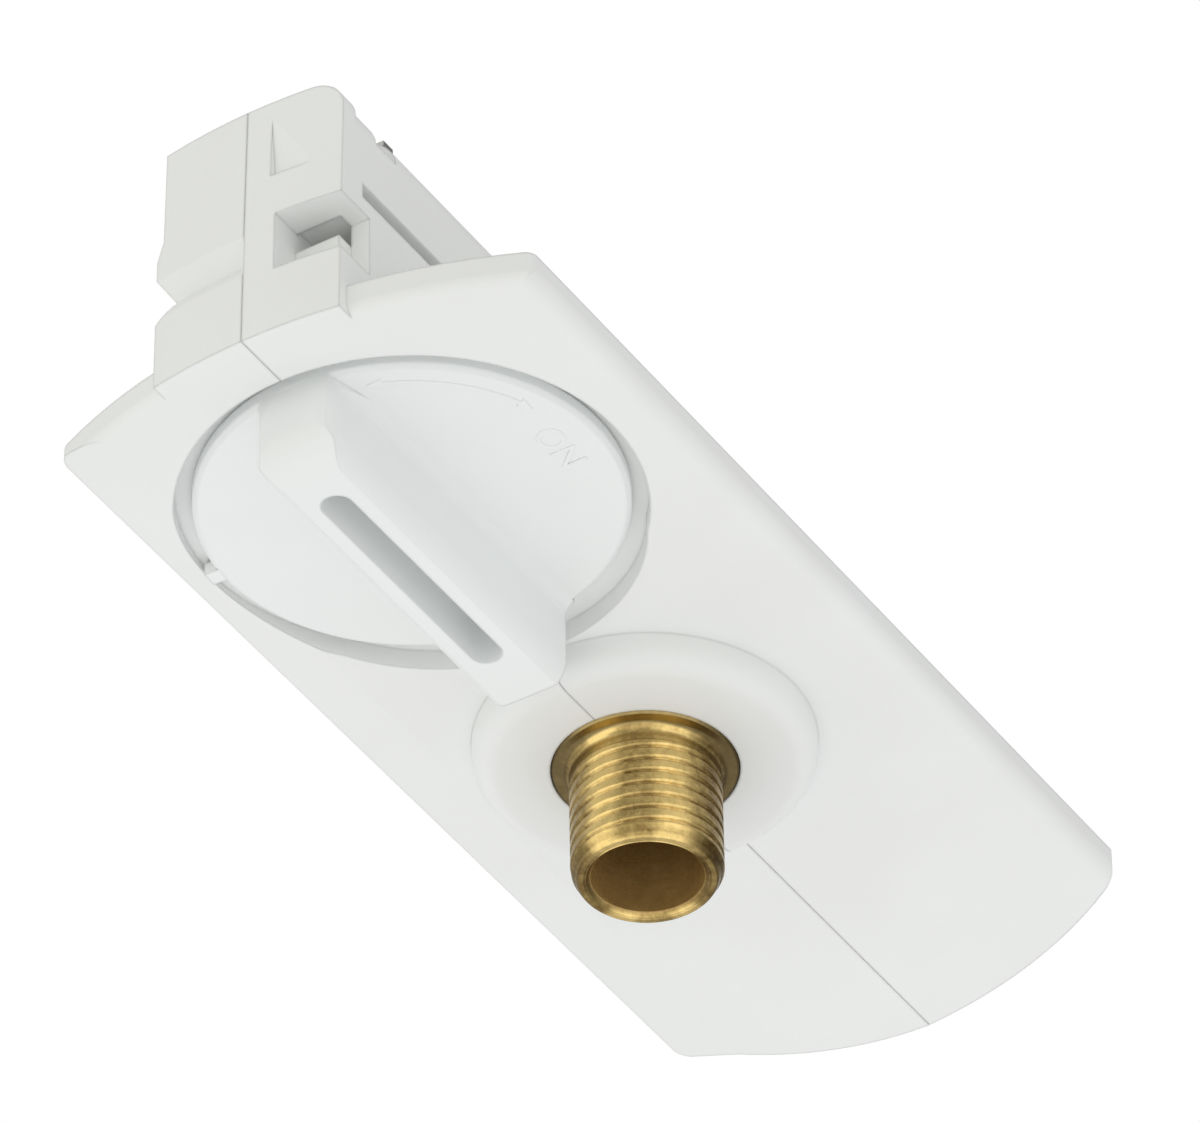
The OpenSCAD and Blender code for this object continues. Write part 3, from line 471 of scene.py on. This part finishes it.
def draw_outline(points):
    """Moves the selected vertex to the first point and extrudes it along the others."""
    bpy.ops.transform.translate(value=points[0])
    for before, after in zip(points, points[1:]):
        step = Vector(after) - Vector(before)
        bpy.ops.mesh.extrude_vertices_move(TRANSFORM_OT_translate={"value": step})


rows_per_turn = 20
row_h = pitch / rows_per_turn
row_count = int((thread_top - tube_tip - lip_round) / row_h)
thread_rows = [(crest_r, tube_tip + lip_round + k * row_h) for k in range(1, row_count)]
fillet_steps = 8
fillet = []
for k in range(fillet_steps + 1):
    bow = math.radians(90) * k / fillet_steps
    out = neck_fillet * (1 - math.cos(bow))
    down = neck_fillet * (1 - math.sin(bow))
    fillet.append((neck_r + out, collar_face - down))
tube_outline = [
    (bore_r, tube_tip + bore_chamfer),
    (bore_r + bore_chamfer, tube_tip),
    (bore_r + bore_chamfer + ring_groove, tube_tip + ring_groove),
    (bore_r + bore_chamfer + 2 * ring_groove, tube_tip),
    (lip_r - lip_round, tube_tip),
    (lip_r, tube_tip + lip_round),
    *thread_rows,
    (neck_r, thread_top),
    *fillet,
    (collar_r - collar_edge, collar_face),
    (collar_r, collar_face + collar_edge),
    (collar_r, collar_top),
    (crest_r, collar_top),
    (crest_r, tube_top),
    (bore_r, tube_top),
    (bore_r, tube_tip + bore_chamfer)]
print("outline of the tube:", len(tube_outline), "points")

# %% Turn the tube
lathe_steps = 128

tube = start_mesh("threaded_tube")
draw_outline([(r, 0.0, z) for r, z in tube_outline])
bpy.ops.mesh.select_all(action="SELECT")
bpy.ops.mesh.remove_doubles(threshold=weld)
bpy.ops.object.mode_set(mode="OBJECT")
screw = tube.modifiers.new("lathe", "SCREW")
screw.axis = "Z"
screw.angle = 2 * math.pi
screw.steps = lathe_steps
screw.render_steps = lathe_steps
screw.use_merge_vertices = True
screw.merge_threshold = weld
bpy.ops.object.modifier_apply(modifier=screw.name)
print("turned tube:", len(tube.data.polygons), "faces")

# %% [markdown]
# The groove is narrow and its ridges are broad and flat. At both ends the thread runs out under a cone, as a
# die leaves it: no point stands outside the cone of the tip or the cone of the neck.

# %% Cut the thread
smooth_below = math.radians(35)


def groove_depth(height, angle):
    """How deep the thread is cut at a height and an angle round the axis."""
    turn = (height / pitch - angle / (2 * math.pi)) % 1.0
    off_crest = abs(2 * turn - 1)
    slope = max(0.0, (off_crest - ridge_flat) / (1 - ridge_flat))
    return ridge_depth * slope * slope * (3 - 2 * slope)


for vertex in tube.data.vertices:
    height, radius = vertex.co.z, vertex.co.xy.length
    threaded = tube_tip < height < thread_top and abs(radius - crest_r) < weld
    if threaded:
        cut = crest_r - groove_depth(height, math.atan2(vertex.co.y, vertex.co.x))
        tip_cone = lip_r + tip_slope * (height - tube_tip - lip_round)
        neck_cone = neck_r + (thread_top - height)
        vertex.co.xy *= min(cut, tip_cone, neck_cone) / radius

bpy.ops.object.mode_set(mode="EDIT")
bpy.ops.mesh.select_all(action="SELECT")
bpy.ops.mesh.normals_make_consistent(inside=False)
bpy.ops.object.mode_set(mode="OBJECT")
bpy.ops.object.shade_smooth_by_angle(angle=smooth_below)
tube.data.materials.append(brass_tarnish_and_painted_light)
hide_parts("threaded_nipple")
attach(tube, "housing")
print("threaded tube:", len(tube.data.polygons), "faces")

# %% [markdown]
# ## Lettering on the knob
# A raised ON and a curved arrow on the disc tell which way the bar turns to lock. Text starts as a flat
# curve: it is given a little height, turned to face down and made a mesh, and only then is its place
# applied.

# %% Raised ON
knob_pivot = Vector(frame["joints"][0]["pos_m"])
disc_depth = 2.53 * MM
disc_face = boss_face + disc_depth
relief_h = 0.06 * MM
letter_size = 2.6 * MM
letter_edge = 0.01 * MM
letter_r = 11.0 * MM


def to_knob(piece, finish):
    """Applies the piece's place and lets it ride on the knob with a finish."""
    bpy.ops.object.transform_apply(location=True, rotation=True, scale=True)
    piece.data.materials.clear()
    piece.data.materials.append(finish)
    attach(piece, "lock_rotor")


bpy.ops.object.select_all(action="DESELECT")
face_down = Euler((math.pi, 0, 0))
letter_place = (knob_pivot.x, knob_pivot.y - letter_r, disc_face)
bpy.ops.object.text_add(location=letter_place, rotation=face_down)
letters = bpy.context.object
letters.name = "on_letters"
letters.data.body = "ON"
letters.data.align_x = "CENTER"
letters.data.align_y = "CENTER"
letters.data.size = letter_size
letters.data.extrude = relief_h
letters.data.bevel_depth = letter_edge
bpy.ops.object.convert(target="MESH")
to_knob(letters, relief_plastic)
print("letters:", len(letters.data.polygons), "faces")

# %% [markdown]
# The arrow's bow is a short edge across it, spun about the knob's axis. A flat triangle closes each end, and
# the joined outline is then extruded to the height of the letters.

# %% Curved arrow
arrow_r = 12.4 * MM
arrow_w = 0.3 * MM
arrow_steps = 32
arrow_from, arrow_to = math.radians(-156), math.radians(-114)
head_half = 0.45 * MM
head_length = 1.0 * MM
head_angle = head_length / arrow_r


def ring_point(radius, angle):
    """A point on the disc's face, at a radius and an angle about the knob's axis."""
    return (knob_pivot.x + radius * math.cos(angle), knob_pivot.y + radius * math.sin(angle), disc_face)


def arrow_head(name, angle, way):
    """A flat triangle at one end of the bow that points along way."""
    head = start_mesh(name)
    draw_outline([
        ring_point(arrow_r - head_half, angle),
        ring_point(arrow_r + head_half, angle),
        ring_point(arrow_r, angle + way * head_angle)])
    bpy.ops.mesh.select_all(action="SELECT")
    bpy.ops.mesh.edge_face_add()
    bpy.ops.object.mode_set(mode="OBJECT")
    return head


arrow = start_mesh("turn_arrow")
draw_outline([
    ring_point(arrow_r - arrow_w / 2, arrow_from),
    ring_point(arrow_r + arrow_w / 2, arrow_from)])
bpy.ops.mesh.select_all(action="SELECT")
bpy.ops.mesh.spin(
    steps=arrow_steps, angle=arrow_from - arrow_to, center=ring_point(0, 0), axis=(0, 0, 1),
    use_auto_merge=False)
bpy.ops.object.mode_set(mode="OBJECT")
heads = [arrow_head("head_a", arrow_from, -1), arrow_head("head_b", arrow_to, 1)]

bpy.ops.object.select_all(action="DESELECT")
for piece in [arrow, *heads]:
    piece.select_set(True)
bpy.context.view_layer.objects.active = arrow
bpy.ops.object.join()
bpy.ops.object.mode_set(mode="EDIT")
bpy.ops.mesh.select_all(action="SELECT")
bpy.ops.mesh.extrude_region_move(TRANSFORM_OT_translate={"value": (0, 0, -relief_h)})
bpy.ops.mesh.select_all(action="SELECT")
bpy.ops.mesh.normals_make_consistent(inside=False)
bpy.ops.object.mode_set(mode="OBJECT")
to_knob(arrow, relief_plastic)
print("arrow:", len(arrow.data.polygons), "faces")

# %% [markdown]
# ## The slot in the bar
# From below, the slot in the bar shows one wall and no floor. In a copy of the knob, the slot's floor moves
# further in. The copy is merged by distance first, which drops its smooth normals, so each corner gets back
# the normal that the same corner of the same face has in the solid.

# %% Copy the knob
same_place = 0.01 * MM


def corner_keys(mesh):
    """The middle of the face and the place of the corner, for every corner of a mesh in turn."""
    keys = []
    for face in mesh.polygons:
        for corner in face.loop_indices:
            point = mesh.vertices[mesh.loops[corner].vertex_index].co
            keys.append(tuple(round(v / same_place) for v in (*face.center, *point)))
    return keys


solid_knob = frame["nodes"]["lock_knob"].data
smooth_normals = {}
for key, corner in zip(corner_keys(solid_knob), solid_knob.corner_normals):
    smooth_normals[key] = corner.vector.copy()

deep_knob = bpy.data.objects.new("deep_slot_knob", solid_knob.copy())
bpy.context.collection.objects.link(deep_knob)
bpy.ops.object.select_all(action="DESELECT")
deep_knob.select_set(True)
bpy.context.view_layer.objects.active = deep_knob
bpy.ops.object.mode_set(mode="EDIT")
bpy.ops.mesh.select_all(action="SELECT")
bpy.ops.mesh.remove_doubles(threshold=weld)
bpy.ops.mesh.select_all(action="DESELECT")
bpy.ops.object.mode_set(mode="OBJECT")
no_normal = (0, 0, 0)
knob_normals = [smooth_normals.get(key, no_normal) for key in corner_keys(deep_knob.data)]
print("corners without a normal:", knob_normals.count(no_normal), "of", len(knob_normals))

# %% Deepen the slot
bar_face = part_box("lock_knob")[0][2]
slot_half_l = 9.7 * MM
slot_half_w = 1.05 * MM
solid_depth = 2.2 * MM
slot_depth = 3.4 * MM

for vertex in deep_knob.data.vertices:
    off = vertex.co - knob_pivot
    in_slot = abs(off.x) < slot_half_l + same_place and abs(off.y) < slot_half_w + same_place
    vertex.select = in_slot and abs(vertex.co.z - bar_face - solid_depth) < same_place
bpy.ops.object.mode_set(mode="EDIT")
bpy.ops.transform.translate(value=(0, 0, slot_depth - solid_depth))
bpy.ops.object.mode_set(mode="OBJECT")
bpy.ops.object.shade_smooth()
deep_knob.data.normals_split_custom_set(knob_normals)
to_knob(deep_knob, knob_plastic)
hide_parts("lock_knob")
print("knob with a deep slot:", len(deep_knob.data.polygons), "faces")

# %% [markdown]
# ## Light and background
# White plastic on a white ground is read by soft shading alone. The sky is brightest below the adapter and a
# little brighter on one long side, so every face gets its own shade and no lamp leaves a hard shadow. Light
# on the near end is a little warm. The camera sees a plain white background, which is not more light: it is
# white only for the camera's rays. Metal needs something to mirror, so glossy rays see two upright bright
# panels with dark gaps between them, a light patch behind the camera and a pale ground.

# %% Soft light
sky_level = 0.84
sky_slope = Vector((0.0, 0.06, -0.15))
warm_side = Vector((-1, 0, 0))
warm_light = (1.0, 1.0, 0.935, 1)
white_light = (1, 1, 1, 1)

scene = bpy.context.scene
scene.world = bpy.data.worlds.new("studio_sky")
scene.world.use_nodes = True
background = scene.world.node_tree.nodes["Background"]
sky = Wire(scene.world.node_tree)
direction = sky.node("ShaderNodeTexCoord", out="Generated")


def along(axis):
    """The ray direction's part along an axis."""
    inputs = {0: direction, 1: axis}
    return sky.node("ShaderNodeVectorMath", {"operation": "DOT_PRODUCT"}, inputs, out="Value")


soft_light = sky_level + along(sky_slope)
warmth = along(warm_side).between(0.3, 1.0)
print("sky level", sky_level, "slope", [round(v, 3) for v in sky_slope])

# %% Panels for the metal
panel_light = 1.4
gap_light = 0.45
gap_fade = 0.25
patch_share = 0.5
ground_share = 0.4
left_panel_turn = (-1.75, -1.45), (-1.0, -0.7)
right_panel_turn = (0.15, 0.45), (0.95, 1.25)
fade_turn = (1.2, 1.7)
panel_top = (0.75, 0.95)
patch_edge = (0.55, 0.9)
ground_edge = (-0.6, -0.3)


def band(value, rise, fall):
    """1 between two soft edges of a value."""
    return value.between(*rise) - value.between(*fall)


ray_turn = sky.math("ARCTAN2", along(camera_right), along(ahead))
ray_height = along(Vector((0, 0, 1)))
both_panels = band(ray_turn, *left_panel_turn) + band(ray_turn, *right_panel_turn)
upright = both_panels * (1 - ray_height.between(*panel_top))
patch = patch_share * along(towards_camera).between(*patch_edge)
ground = ground_share * (1 - ray_height.between(*ground_edge))
panels = (upright + patch + ground).clamp()
gaps = gap_light - gap_fade * ray_turn.between(*fade_turn)
mirrored = gaps + (panel_light - gaps) * panels
print("panels", panel_light, "gaps", gap_light)

# %% Which ray sees what
def ray_kind(name):
    """1 for the rays of this kind, 0 for all others."""
    return sky.node("ShaderNodeLightPath", out=name)


seen = (ray_kind("Is Camera Ray") + ray_kind("Is Transmission Ray")).clamp()
unseen = 1 - seen
glossy = ray_kind("Is Glossy Ray")
lit = unseen * (glossy * mirrored + (1 - glossy) * soft_light)
sky.plug(background.inputs["Color"], (warmth * unseen).blend(white_light, warm_light))
sky.plug(background.inputs["Strength"], seen + lit)
print("world:", scene.world.name, "with", len(scene.world.node_tree.nodes), "nodes")

# %% [markdown]
